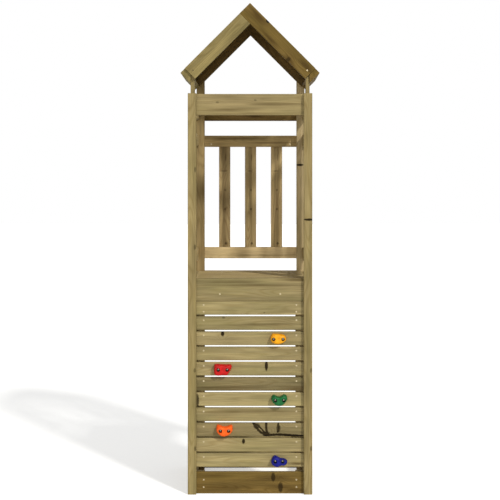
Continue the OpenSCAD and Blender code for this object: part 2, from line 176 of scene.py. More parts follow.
woodGrain = {
    "ringWidth": 0.0030,     # distance between two growth rings
    "pithDepth": 0.052,      # how far behind the board the middle of the tree lay
    "pithSwing": 0.06,       # how far to either side it lay
    "ringSharpness": 2.4,
    "knotSpread": 3.2,       # how far a knot pushes the grain aside, in knot sizes
    "seedShift": (31.7, 17.3, 23.9),    # moves the patterns on from board to board
    # patterns by how often they repeat in a metre: along, through and across the board
    "wobble": (160, 40, 160),
    "slow": (1.7, 9.0, 9.0),
    "fibre": (7.0, 430.0, 430.0),
    "streak": (2.1, 70.0, 70.0),
    "blotch": (3.2, 14.0, 14.0),
    "cloud": (5.0, 26.0, 26.0),
    "strayCells": (3.4, 0, 5.5),
    "straySmallest": 0.014,  # size of a stray knot, in cells
    "straySpread": 0.022,
    "stainColour": (70, 52, 24),
    "knotColour": (16, 9, 3),
    "crackColour": (18, 11, 3),
    "roughness": (0.58, 0.76),
    "shine": 0.06,
    "bump": 0.0007,
}


def seamDistance(tree, flat, start, end):  # distance from a point of the face to one stretch of a crack
    alongX = end[0] - start[0]
    alongZ = end[1] - start[1]
    lengthSquared = alongX * alongX + alongZ * alongZ
    fromStart = vectorCalc(tree, "SUBTRACT", flat, (start[0], 0, start[1]))
    shareAlong = calc(tree, "MULTIPLY",
                      vectorCalc(tree, "DOT_PRODUCT", fromStart, (alongX, 0, alongZ)),
                      1 / lengthSquared, clamp=True)
    nearest = addNode(tree, "ShaderNodeVectorMath", {0: (alongX, 0, alongZ), "Scale": shareAlong},
                      operation="SCALE").outputs[0]
    return vectorCalc(tree, "LENGTH", vectorCalc(tree, "SUBTRACT", fromStart, nearest))


def woodMaterial(name, finishName, tone=1.0, knots=(), cracks=(), stains=()):
    finish = woodFinishes[finishName]
    made, tree, shader = freshMaterial(name)
    place = addNode(tree, "ShaderNodeTexCoord").outputs["Object"]
    seed = addNode(tree, "ShaderNodeObjectInfo").outputs["Random"]
    shifts = {axis: calc(tree, "MULTIPLY", seed, shift)
              for axis, shift in zip("XYZ", woodGrain["seedShift"])}
    seedPlace = addNode(tree, "ShaderNodeCombineXYZ", shifts).outputs[0]
    moved = vectorCalc(tree, "ADD", place, seedPlace)
    flat = vectorCalc(tree, "MULTIPLY", place, (1, 0, 1))

    # knots go through the board, so they are measured on its face
    knotMask = 0.0
    push = 0.0
    flatZ = addNode(tree, "ShaderNodeSeparateXYZ", {0: flat}).outputs["Z"]
    wobble = stretchedNoise(tree, moved, woodGrain["wobble"], 2.0)["Fac"]
    for knotX, knotZ, sizeX, sizeZ, strength in knots:
        away = vectorCalc(tree, "SUBTRACT", flat, (knotX, 0, knotZ))
        scaled = vectorCalc(tree, "LENGTH", vectorCalc(tree, "MULTIPLY", away, (1 / sizeX, 0, 1 / sizeZ)))
        rough = calc(tree, "ADD", scaled, swing(tree, wobble, 0.7))
        knotMask = calc(tree, "MAXIMUM", knotMask, spread(tree, rough, 1.4, 0.9, 0.0, strength))
        pull = bell(tree, calc(tree, "MULTIPLY", scaled, 1 / woodGrain["knotSpread"]))
        push = calc(tree, "ADD", push, calc(tree, "MULTIPLY", pull, calc(tree, "SUBTRACT", flatZ, knotZ)))

    # stray knots come from a few cells of a cell pattern
    cellPlace = vectorCalc(tree, "MULTIPLY_ADD", flat, woodGrain["strayCells"], seedPlace)
    cells = addNode(tree, "ShaderNodeTexVoronoi", {"Vector": cellPlace, "Scale": 1.0})
    cellShade = addNode(tree, "ShaderNodeSeparateColor", {0: cells.outputs["Color"]}).outputs
    chosen = calc(tree, "GREATER_THAN", cellShade[0], finish["clear"])
    straySize = calc(tree, "MULTIPLY_ADD", cellShade[1], woodGrain["straySpread"],
                     woodGrain["straySmallest"])
    strayAway = calc(tree, "DIVIDE", cells.outputs["Distance"], straySize)
    strayRough = calc(tree, "ADD", strayAway, swing(tree, wobble, 0.8))
    strayMask = calc(tree, "MULTIPLY", spread(tree, strayRough, 1.3, 0.6),
                     calc(tree, "MULTIPLY", chosen, 0.75))
    knotMask = calc(tree, "MAXIMUM", knotMask, strayMask)
    strayPull = calc(tree, "MULTIPLY", chosen, bell(tree, calc(tree, "MULTIPLY", strayAway, 0.4)))

    # growth rings lie round the middle of the tree, which runs behind the board
    slow = stretchedNoise(tree, moved, woodGrain["slow"], 2.0)["Color"]
    sway = vectorCalc(tree, "MULTIPLY", vectorCalc(tree, "SUBTRACT", slow, (0.5, 0.5, 0.5)),
                      (0, 0.05, 0.05))
    bent = addNode(tree, "ShaderNodeSeparateXYZ", {0: vectorCalc(tree, "ADD", place, sway)}).outputs
    across = calc(tree, "SUBTRACT", calc(tree, "SUBTRACT", bent["Z"], push),
                  swing(tree, seed, woodGrain["pithSwing"]))
    across = calc(tree, "ADD", across, calc(tree, "MULTIPLY", strayPull, 0.006))
    through = calc(tree, "ADD", bent["Y"], woodGrain["pithDepth"])
    ringPlace = addNode(tree, "ShaderNodeCombineXYZ", {"X": 0.0, "Y": through, "Z": across}).outputs[0]
    ringPhase = calc(tree, "MULTIPLY", vectorCalc(tree, "LENGTH", ringPlace),
                     2 * math.pi / woodGrain["ringWidth"])
    wave = calc(tree, "MULTIPLY_ADD", calc(tree, "SINE", ringPhase), 0.5, 0.5)
    late = calc(tree, "POWER", wave, woodGrain["ringSharpness"])

    # fibres are long and thin, so their pattern is stretched along the board
    fibre = stretchedNoise(tree, moved, woodGrain["fibre"], 3.0, 0.65)["Fac"]
    streak = stretchedNoise(tree, moved, woodGrain["streak"], 2.0)["Fac"]
    blotch = stretchedNoise(tree, moved, woodGrain["blotch"], 3.0)["Fac"]
    cloud = stretchedNoise(tree, moved, woodGrain["cloud"], 2.0)["Fac"]
    board = spread(tree, seed, 0.0, 1.0, 0.94, 1.06)

    lineShare = calc(tree, "MULTIPLY", spread(tree, streak, 0.3, 0.7, 0.35, 1.0), finish["lines"])
    lateShare = calc(tree, "MULTIPLY", late, lineShare)
    colour = blendColour(tree, lateShare, linear(*finish["early"]), linear(*finish["late"]))
    colour = blendColour(tree, spread(tree, blotch, 0.42, 0.68, 0.0, 0.6), colour, linear(*finish["tint"]))
    shade = calc(tree, "MULTIPLY", spread(tree, fibre, 0.3, 0.7, 0.80, 1.14),
                 calc(tree, "MULTIPLY", board, tone))
    shade = calc(tree, "MULTIPLY", shade, spread(tree, streak, 0.3, 0.7, 0.74, 1.20))
    shade = calc(tree, "MULTIPLY", shade, spread(tree, cloud, 0.3, 0.7, 0.80, 1.15))
    shadeColour = addNode(tree, "ShaderNodeCombineColor", {0: shade, 1: shade, 2: shade}).outputs[0]
    colour = blendColour(tree, 1.0, colour, shadeColour, "MULTIPLY")

    # weathered stains, wide and soft
    for stainX, stainZ, sizeX, sizeZ, strength in stains:
        away = vectorCalc(tree, "MULTIPLY", vectorCalc(tree, "SUBTRACT", flat, (stainX, 0, stainZ)),
                          (1 / sizeX, 0, 1 / sizeZ))
        soft = spread(tree, calc(tree, "ADD", vectorCalc(tree, "LENGTH", away), swing(tree, streak, 1.6)),
                      1.2, 0.3, 0.0, strength)
        colour = blendColour(tree, soft, colour, linear(*woodGrain["stainColour"]))

    colour = blendColour(tree, knotMask, colour, linear(*woodGrain["knotColour"]))
    crackMask = 0.0
    for line in cracks:
        width = line["width"]
        points = line["points"]
        nearest = None
        for start, end in zip(points, points[1:]):
            distance = seamDistance(tree, flat, start, end)
            nearest = distance if nearest is None else calc(tree, "MINIMUM", nearest, distance)
        ragged = calc(tree, "ADD", nearest, swing(tree, wobble, width))
        crackMask = calc(tree, "MAXIMUM", crackMask, spread(tree, ragged, width, width * 0.6))
    if cracks:
        colour = blendColour(tree, crackMask, colour, linear(*woodGrain["crackColour"]))

    # the eased edges are worn a little darker
    wornAndShaded = addNode(tree, "ShaderNodeAttribute", attribute_name="edgeWearAndBaseShade").outputs["Fac"]
    wornShare = calc(tree, "MULTIPLY", calc(tree, "POWER", wornAndShaded, 1.5),
                     spread(tree, streak, 0.3, 0.7, 0.02, 0.2))
    colour = blendColour(tree, wornShare, colour, linear(*[part * 0.8 for part in finish["late"]]))

    height = calc(tree, "MULTIPLY_ADD", fibre, 0.5, calc(tree, "MULTIPLY", late, 0.35))
    height = calc(tree, "SUBTRACT", height, calc(tree, "MULTIPLY", crackMask, 1.6))
    height = calc(tree, "ADD", height, calc(tree, "MULTIPLY", knotMask, 0.3))
    bump = addNode(tree, "ShaderNodeBump",
                   {"Height": height, "Distance": woodGrain["bump"], "Strength": 0.7})
    tree.links.new(colour, shader.inputs["Base Color"])
    tree.links.new(spread(tree, fibre, 0.3, 0.7, *woodGrain["roughness"]), shader.inputs["Roughness"])
    tree.links.new(bump.outputs[0], shader.inputs["Normal"])
    shader.inputs["Specular IOR Level"].default_value = woodGrain["shine"]
    return made


def islandsOf(node):  # the solids of a node, each as its corner points and its faces
    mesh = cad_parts[node].data
    work = bmesh.new()
    work.from_mesh(mesh)
    bmesh.ops.remove_doubles(work, verts=work.verts, dist=0.00002)
    left = set(work.verts)
    found = []
    while left:
        todo = [left.pop()]
        group = set(todo)
        while todo:
            for edge in todo.pop().link_edges:
                for vert in edge.verts:
                    if vert in left:
                        left.remove(vert)
                        group.add(vert)
                        todo.append(vert)
        order = {vert: number for number, vert in enumerate(group)}
        faces = {face for vert in group for face in vert.link_faces}
        found.append({
            "points": [vert.co.copy() for vert in order],
            "faces": [[order[vert] for vert in face.verts] for face in faces],
        })
    work.free()
    found.sort(key=lambda solid: [round(sum(p[axis] for p in solid["points"]) / len(solid["points"]), 4)
                                  for axis in (2, 0, 1)])    # from below, then from the left
    return found


def plankFrame(node, points):  # rotation with columns along, through and across the plank
    lean = math.sqrt(0.5)    # the roof slopes at 45 degrees
    side = -1 if "left" in node else 1
    if "gable_board" in node:
        along = Vector((lean * side, 0, -lean)) * side
        across = Vector((lean * side, 0, lean))
    elif "roof_boards" in node:
        along = Vector((0, 1, 0))
        across = Vector((lean * side, 0, -lean))
    elif "eave_board" in node:
        along = Vector((0, 1, 0))
        across = Vector((lean * side, 0, lean))
    else:
        sizes = [max(p[axis] for p in points) - min(p[axis] for p in points) for axis in range(3)]
        order = sorted(range(3), key=lambda axis: -sizes[axis])
        along = Vector([1.0 if axis == order[0] else 0.0 for axis in range(3)])
        across = Vector([1.0 if axis == order[1] else 0.0 for axis in range(3)])
    through = across.cross(along)
    turn = Matrix((along, through, across)).transposed()
    local = [turn.transposed() @ p for p in points]
    middle = Vector([(max(p[axis] for p in local) + min(p[axis] for p in local)) / 2 for axis in range(3)])
    return turn, turn @ middle


plankShape = {
    "roundOver": 0.0009,   # softens the corners of the eased edges
    "wornBand": 0.0030,    # width of the band along an edge that wear reaches
    "smallFace": 0.0009,   # faces under this area, in square metres, get no band
    "flatAngle": 0.6,      # faces that meet at less than this many degrees are one
    "edgeAngle": 20,       # an edge sharper than this is eased
    "creaseAngle": 50,     # shading breaks at edges sharper than this
    "hollowShare": 1.02,   # a solid that fills its hull less than this keeps its own faces
}


def meshVolume(work):
    return abs(work.calc_volume(signed=True))


def smoothWithCreases(mesh, degrees):
    for polygon in mesh.polygons:
        polygon.use_smooth = True
    mesh.set_sharp_from_angle(angle=math.radians(degrees))


def makePlank(node, solid, number, material):
    turn, middle = plankFrame(node, solid["points"])
    backTurn = turn.transposed()
    flatAngle = math.radians(plankShape["flatAngle"])
    local = [backTurn @ (p - middle) for p in solid["points"]]
    whole = bmesh.new()
    verts = [whole.verts.new(p) for p in local]
    for face in solid["faces"]:
        whole.faces.new([verts[index] for index in face])
    bmesh.ops.dissolve_limit(whole, angle_limit=flatAngle, verts=whole.verts, edges=whole.edges)
    hull = bmesh.new()
    for p in local:
        hull.verts.new(p)
    result = bmesh.ops.convex_hull(hull, input=hull.verts)
    extra = {item for item in result["geom_interior"] + result["geom_unused"]
             if isinstance(item, bmesh.types.BMVert)}
    bmesh.ops.delete(hull, geom=list(extra), context="VERTS")
    bmesh.ops.dissolve_limit(hull, angle_limit=flatAngle, verts=hull.verts, edges=hull.edges)
    if meshVolume(hull) < meshVolume(whole) * plankShape["hollowShare"]:
        work = hull
        whole.free()
        sharp = [edge for edge in work.edges
                 if len(edge.link_faces) == 2
                 and edge.calc_face_angle() > math.radians(plankShape["edgeAngle"])]
        bmesh.ops.bevel(work, geom=sharp, offset=plankShape["roundOver"], segments=2, profile=0.5,
                        affect="EDGES", clamp_overlap=True)
        wide = [face for face in work.faces if face.calc_area() > plankShape["smallFace"]]
        bmesh.ops.inset_individual(work, faces=wide, thickness=plankShape["wornBand"],
                                   use_even_offset=True)
        inner = {vert for face in wide for vert in face.verts}
        # on faces narrower than two bands the inset folds over, so all corners are held in the plank's box
        for axis in range(3):
            lowest = min(p[axis] for p in local)
            highest = max(p[axis] for p in local)
            for vert in work.verts:
                vert.co[axis] = min(max(vert.co[axis], lowest), highest)
    else:
        work = whole
        hull.free()
        inner = set(work.verts)
    wearAndShade = work.verts.layers.float.new("edgeWearAndBaseShade")
    for vert in work.verts:
        vert[wearAndShade] = 0.0 if vert in inner else 1.0
    bmesh.ops.recalc_face_normals(work, faces=work.faces)
    mesh = bpy.data.meshes.new(node + "_plank")
    work.to_mesh(mesh)
    work.free()
    smoothWithCreases(mesh, plankShape["creaseAngle"])
    piece = bpy.data.objects.new(f"{node}_{number}" if number else node + "_wood", mesh)
    scene.collection.objects.link(piece)
    piece.matrix_world = Matrix.Translation(middle) @ turn.to_4x4()
    mesh.materials.append(material)
    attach(piece, "root")
    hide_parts(node)
    return piece


def buildPlanks(node, material, ownMaterials=()):
    solids = islandsOf(node)
    for number, solid in enumerate(solids):
        own = ownMaterials[number] if number < len(ownMaterials) else material
        piece = makePlank(node, solid, number + 1 if len(solids) > 1 else 0, own)


# The wall's boards, top to bottom. Knots are written as x, z, half length and half width in metres,
# from the middle of the board's face.
wallBoards = {
    "front_header": {"finish": "headerPine", "tone": 0.79,
                     "knots": [(-0.138, 0.010, 0.0060, 0.0035, 0.4), (0.022, 0.018, 0.0050, 0.0035, 0.4)],
                     "stains": [(-0.10, -0.022, 0.16, 0.008, 0.55), (0.12, 0.002, 0.13, 0.008, 0.5),
                                (0.0, -0.038, 0.24, 0.006, 0.4)]},
    "wall_top_board": {"finish": "wallPine", "tone": 0.78,
                       "stains": [(0.20, 0.041, 0.10, 0.008, 0.7), (0.0, 0.018, 0.25, 0.006, 0.5),
                                  (-0.08, 0.034, 0.14, 0.006, 0.4)]},
    "wall_slat_1": {"finish": "wallPine", "tone": 0.91, "knots": [(0.060, -0.020, 0.0035, 0.0028, 0.4)]},
    "wall_slat_2": {"finish": "wallPine", "tone": 0.81, "knots": [(-0.112, 0.024, 0.0060, 0.0035, 0.5)],
                    "stains": [(0.05, -0.006, 0.18, 0.008, 0.4)]},
    "wall_slat_3": {"finish": "wallPine", "tone": 0.83, "knots": [(-0.116, 0.020, 0.0062, 0.0090, 1.0)]},
    "wall_slat_4": {"finish": "wallPine", "tone": 0.83},
    "wall_slat_5": {"finish": "wallPine", "tone": 0.85, "knots": [(0.069, 0.013, 0.0058, 0.0180, 1.0)]},
    "wall_slat_6": {"finish": "wallPine", "tone": 0.54,
                    "stains": [(-0.10, -0.015, 0.16, 0.010, 0.5), (0.20, -0.02, 0.08, 0.012, 0.7)]},
    "wall_slat_7": {"finish": "wallPine", "tone": 1.08, "knots": [(-0.224, -0.006, 0.0070, 0.026, 0.85)]},
    "wall_slat_8": {"finish": "wallPine", "tone": 0.79, "stains": [(0.0, 0.012, 0.26, 0.008, 0.5)]},
    "wall_slat_9": {"finish": "wallPine", "tone": 0.66,
                    "knots": [(0.028, 0.016, 0.012, 0.010, 0.8), (0.068, -0.018, 0.014, 0.009, 1.0),
                              (0.120, 0.006, 0.008, 0.014, 0.75)],
                    "cracks": [
                        {"width": 0.0062, "points": [(0.0135, 0.028), (0.027, 0.008), (0.044, -0.010),
                                                     (0.066, -0.023), (0.125, -0.020), (0.165, -0.023),
                                                     (0.225, -0.027)]},
                        {"width": 0.0044, "points": [(0.019, 0.026), (0.038, 0.014), (0.055, -0.004),
                                                     (0.070, -0.021)]},
                        {"width": 0.0062, "points": [(0.068, 0.029), (0.068, 0.005), (0.073, -0.020)]},
                        {"width": 0.0056, "points": [(0.119, 0.024), (0.120, 0.004), (0.117, -0.009)]}]},
    "wall_slat_10": {"finish": "wallPine", "tone": 0.88, "knots": [(-0.0275, 0.016, 0.0055, 0.0100, 1.0)]},
    "wall_slat_11": {"finish": "wallPine", "tone": 1.01, "stains": [(0.20, -0.014, 0.05, 0.008, 0.75)]},
    "front_bottom_board": {"finish": "brownPine", "tone": 0.98,
                           "knots": [(0.098, 0.024, 0.0075, 0.016, 0.75),
                                     (0.129, -0.019, 0.0085, 0.018, 0.75)],
                           "stains": [(0.105, 0.02, 0.10, 0.010, 0.6), (0.13, -0.02, 0.08, 0.012, 0.6),
                                      (-0.15, 0.030, 0.10, 0.012, 0.6), (0.20, -0.03, 0.07, 0.012, 0.6),
                                      (-0.10, -0.020, 0.16, 0.008, 0.5)]},
}

# The covers and posts: x runs up from the middle of the length, z across the face
standingBoards = {
    "front_left_cover": {"finish": "coverPine", "tone": 0.82,
                         "knots": [(0.524, 0.0135, 0.010, 0.004, 0.5), (0.197, 0.012, 0.010, 0.004, 0.5),
                                   (-0.323, 0.011, 0.008, 0.004, 0.5), (-0.652, 0.0135, 0.009, 0.004, 0.6)]},
    "front_right_cover": {"finish": "coverPine", "tone": 0.83,
                          "knots": [(0.313, 0.004, 0.0042, 0.018, 1.0), (-0.323, 0.0125, 0.009, 0.004, 0.5),
                                    (-0.652, 0.0125, 0.009, 0.004, 0.6)]},
    # The rear parts sit in the roof's shade; their finishes and tones are painted light and shade, set piece
    # by piece: tones above 1 and the lighter finishes lift them, the darker finishes paint the shade in
    "rear_left_post": {"finish": "shadePine", "tone": 0.94},
    "rear_right_post": {"finish": "paintedLightPostPine", "tone": 1.2, "knots": [(0.472, -0.003, 0.0045, 0.015, 1.0)]},
    # painted light: the slats get lighter from left to right, against the shade of the right railing
    "rear_railing_slats": {"finish": "slatPine", "tone": 1.2, "paintedLightTones": [1.0, 1.24, 1.44],
                           "knots": [(0.182, 0.005, 0.014, 0.0022, 0.4),
                                     (0.120, -0.003, 0.0022, 0.012, 0.5),
                                     (0.032, 0.002, 0.0045, 0.0040, 0.45),
                                     (-0.056, 0.002, 0.0050, 0.0045, 0.5),
                                     (-0.215, 0.006, 0.0050, 0.0050, 0.6)],
                           "stains": [(0.0, 0.001, 0.60, 0.015, 0.42)]},
    "rear_lower_rail": {"finish": "paintedLightRailPine", "tone": 1.06, "stains": [(0.05, -0.012, 0.20, 0.006, 0.4)]},
    "rear_header": {"finish": "paintedShadeDarkPine", "tone": 1.36, "stains": [(0.02, -0.020, 0.05, 0.012, 0.9)]},
    "rear_top_rail": {"finish": "shadePine", "tone": 1.18,
                      "stains": [(-0.10, 0.012, 0.14, 0.007, 0.6), (0.10, -0.008, 0.16, 0.005, 0.5)]},
    "front_left_upright": {"finish": "coverPine", "tone": 0.86},
    "front_right_upright": {"finish": "coverPine", "tone": 0.86},
}

# Everything else goes by finish
otherBoards = {
    "gablePine": ["front_left_gable_board", "left_eave_board"],
    "deckPine": ["deck_boards", "deck_joists", "deck_cleats", "deck_rims", "side_headers", "left_rails",
                 "right_rails", "rear_covers", "left_roof_boards", "right_roof_boards"],
    "slatPine": ["left_railing_slats", "right_railing_slats"],
    "shadePine": ["wall_battens"],
    "paintedShadeDarkPine": ["rear_left_gable_board", "rear_right_gable_board"],
    "coverPine": ["rear_bottom_board", "left_bottom_board", "right_bottom_board", "rear_lower_board"],
}
brownGable = {
    "finish": "brownPine", "tone": 0.95,
    "knots": [(-0.087, 0.029, 0.0075, 0.0055, 1.0), (0.088, -0.024, 0.007, 0.010, 0.6)],
    "stains": [(-0.13, 0.012, 0.05, 0.014, 0.7), (-0.02, -0.018, 0.06, 0.010, 0.7),
               (0.09, -0.020, 0.035, 0.014, 0.7), (0.16, 0.010, 0.04, 0.014, 0.7)],
}
deckFront = {"finish": "deckPine", "tone": 0.98, "stains": [(0.165, -0.042, 0.070, 0.024, 0.95)]}

# the tone list of a node gives each of its planks a tone of its own, from the left: on the rear railing
# slats this is painted light, lifting the slats further right out of the shade that the right railing casts
# on them
for node, look in {**wallBoards, **standingBoards}.items():
    marks = (look.get("knots", ()), look.get("cracks", ()), look.get("stains", ()))
    tones = look.get("paintedLightTones", [look["tone"]])
    materials = [woodMaterial(node + "Wood", look["finish"], tone, *marks) for tone in tones]
    buildPlanks(node, materials[0], materials)
gableWood = woodMaterial("rightGableWood", brownGable["finish"], brownGable["tone"], brownGable["knots"],
                         (), brownGable["stains"])
for node in ("front_right_gable_board", "right_eave_board"):
    buildPlanks(node, gableWood)
for finishName, nodes in otherBoards.items():
    material = woodMaterial(finishName + "Plain", finishName)
    for node in nodes:
        own = []
        if node == "deck_boards":
            own.append(woodMaterial("deckFrontWood", deckFront["finish"], deckFront["tone"], (), (),
                                    deckFront["stains"]))
        buildPlanks(node, material, own)
print("planks built")


# Moulded holds. The rim is drawn as x and z in millimetres from the middle between the two bolts.
holdStyles = {
    "yellow_hold": {
        "colour": (246, 172, 22), "deep": (196, 112, 8), "slot": "yellow_resin",
        "rim": [(33, 0), (27.7, 13.8), (14, 18.5), (0, 20.5), (-13, 21.5), (-24, 21), (-31, 12), (-32.5, 0),
                (-29, -12), (-17, -20), (-4, -22.5), (9, -20.5), (21.7, -16), (31, -8)]},
    "red_hold": {
        "colour": (200, 20, 18), "deep": (128, 8, 8), "slot": "red_resin",
        "rim": [(36, 3), (37.5, 13), (31, 20), (15, 20), (-6.8, 21), (-24, 21.6), (-35, 20), (-37, 8),
                (-37.4, -6), (-35.5, -20), (-27, -26), (-13, -26.5), (0, -24), (12, -25.5), (20, -23),
                (26.3, -14)]},
    "green_hold": {
        "colour": (22, 104, 52), "deep": (8, 60, 26), "slot": "green_resin",
        "rim": [(32, 0), (32, 13), (25, 20.5), (14, 20), (4, 14), (-4, 12.4), (-13, 15.5), (-22, 20),
                (-31, 17), (-34.9, 6), (-31, -7), (-22, -17), (-12, -23), (0, -26), (11, -22.5), (23, -13)]},
    "orange_hold": {
        "colour": (255, 104, 26), "deep": (214, 66, 10), "slot": "orange_resin",
        "rim": [(33, -2), (33.5, 11), (31, 20.5), (22, 20.5), (11, 16.5), (0, 15), (-11, 16.5), (-22, 21),
                (-31, 22), (-35, 12), (-34, -3), (-27, -14), (-16, -22), (-4, -25.5), (9, -23), (22, -16)]},
    "blue_hold": {
        "colour": (12, 20, 128), "deep": (5, 9, 78), "slot": "blue_resin",
        "rim": [(35.5, -6), (33, 2.5), (24, 7.5), (13.5, 10), (3, 11.5), (-6, 17), (-16, 21), (-26, 16),
                (-31, 6), (-33, -5), (-29, -15), (-20, -21.5), (-8, -25), (3, -22), (11, -18), (22, -18.5),
                (31, -14.5)]},
}
holdShape = {
    "steps": 96,          # points round the rim
    "profile": [(1.0, 0.0), (1.0, 0.18), (0.995, 0.36), (0.98, 0.54), (0.95, 0.69), (0.91, 0.80),
                (0.85, 0.885), (0.76, 0.94), (0.65, 0.97), (0.50, 0.985), (0.36, 0.995), (0.20, 1.0)],
    "pocketWidth": 0.0134,
    "pocketFlare": 0.0150,
    "pocketWiden": 1.3,      # how much wider than the flare a pocket opens at the front
    "pocketSeat": 0.012,     # height of the pocket's floor over the wall
    "pocketStraight": 0.011,
    "pocketRise": 0.019,
    "pocketSteps": 32,
    "bulge": 0.05,           # unevenness of the moulding, as a share of its height
    "bulgeScale": 55,
    "saddle": 0.10,          # dip between the two bolts
    "saddleWidth": 0.007,
    "skin": 0.0002,          # keeps the moulding clear of the box's front and the wall
    "creaseAngle": 38,
    "shine": 0.22,
}


def smoothRim(points, steps):  # a closed smooth curve through the rim points
    count = len(points)
    made = []
    for step in range(steps):
        along = step / steps * count
        index = int(along)
        share = along - index
        before, first, second, after = [Vector(points[(index + k) % count]) for k in (-1, 0, 1, 2)]
        made.append(0.5 * (2 * first + (second - before) * share
                           + (2 * before - 5 * first + 4 * second - after) * share ** 2
                           + (3 * first - before - 3 * second + after) * share ** 3))
    return made


def cutAway(piece, cutters):
    for cutter in cutters:
        step = piece.modifiers.new("cut", "BOOLEAN")
        step.operation = "DIFFERENCE"
        step.solver = "EXACT"
        step.object = cutter
    bpy.context.view_layer.update()
    result = bpy.data.meshes.new_from_object(piece.evaluated_get(bpy.context.evaluated_depsgraph_get()))
    piece.modifiers.clear()
    piece.data = result
    for cutter in cutters:
        bpy.data.objects.remove(cutter)


def turnedMesh(name, rings, steps, axis, place):
    # rings: radius, height along the axis, and the outline: round, hexagon or cross
    work = bmesh.new()
    turn = axis.to_track_quat("Z", "Y").to_matrix()
    loops = []
    for radius, height, outline in rings:
        loop = []
        for step in range(steps):
            angle = 2 * math.pi * step / steps
            reach = radius
            if outline == "hexagon":
                reach = radius * math.cos(math.pi / 6) / math.cos((angle % (math.pi / 3)) - math.pi / 6)
            if outline == "cross":
                part = abs((angle + math.pi / 4) % (math.pi / 2) - math.pi / 4)
                reach = radius * (1.0 if part < math.radians(16) else 0.36)
            loop.append(work.verts.new(place + turn @ Vector((reach * math.cos(angle),
                                                              reach * math.sin(angle), height))))
        loops.append(loop)
    for lower, upper in zip(loops, loops[1:]):
        for step in range(steps):
            after = (step + 1) % steps
            work.faces.new((lower[step], lower[after], upper[after], upper[step]))
    work.faces.new(list(reversed(loops[0])))
    work.faces.new(loops[-1])
    bmesh.ops.recalc_face_normals(work, faces=work.faces)
    mesh = bpy.data.meshes.new(name)
    work.to_mesh(mesh)
    work.free()
    return mesh


def plasticMaterial(name, look, pockets):
    made, tree, shader = freshMaterial(name)
    place = addNode(tree, "ShaderNodeTexCoord").outputs["Object"]
    cloud = stretchedNoise(tree, place, (60, 60, 60), 3.0)["Fac"]
    grit = stretchedNoise(tree, place, (900, 900, 900), 2.0)["Fac"]
    colour = blendColour(tree, spread(tree, cloud, 0.35, 0.75, 0.0, 0.55), linear(*look["colour"]),
                         linear(*look["deep"]))
    # on the holds this mark is painted shade: the low flank next to the wall is darkened to the deep colour
    wornAndShaded = addNode(tree, "ShaderNodeAttribute", attribute_name="edgeWearAndBaseShade").outputs["Fac"]
    colour = blendColour(tree, calc(tree, "MULTIPLY", wornAndShaded, 0.8), colour, linear(*look["deep"]))
    flat = vectorCalc(tree, "MULTIPLY", place, (1, 0, 1))
    # painted shade: the plastic darkens towards each bolt, for the shade inside the bolt pockets
    for pocketX, pocketZ in pockets:
        away = vectorCalc(tree, "DISTANCE", flat, (pocketX, 0, pocketZ))
        paintedPocketShade = spread(tree, away, 0.0088, 0.0064, 0.0, 0.92)
        colour = blendColour(tree, paintedPocketShade, colour, linear(*[part * 0.36 for part in look["deep"]]))
    bump = addNode(tree, "ShaderNodeBump", {"Height": calc(tree, "MULTIPLY_ADD", cloud, 0.8, grit),
                                            "Distance": 0.0004, "Strength": 0.6})
    tree.links.new(colour, shader.inputs["Base Color"])
    tree.links.new(spread(tree, grit, 0.3, 0.7, 0.36, 0.52), shader.inputs["Roughness"])
    shader.inputs["Specular IOR Level"].default_value = holdShape["shine"]
    tree.links.new(bump.outputs[0], shader.inputs["Normal"])
    return made


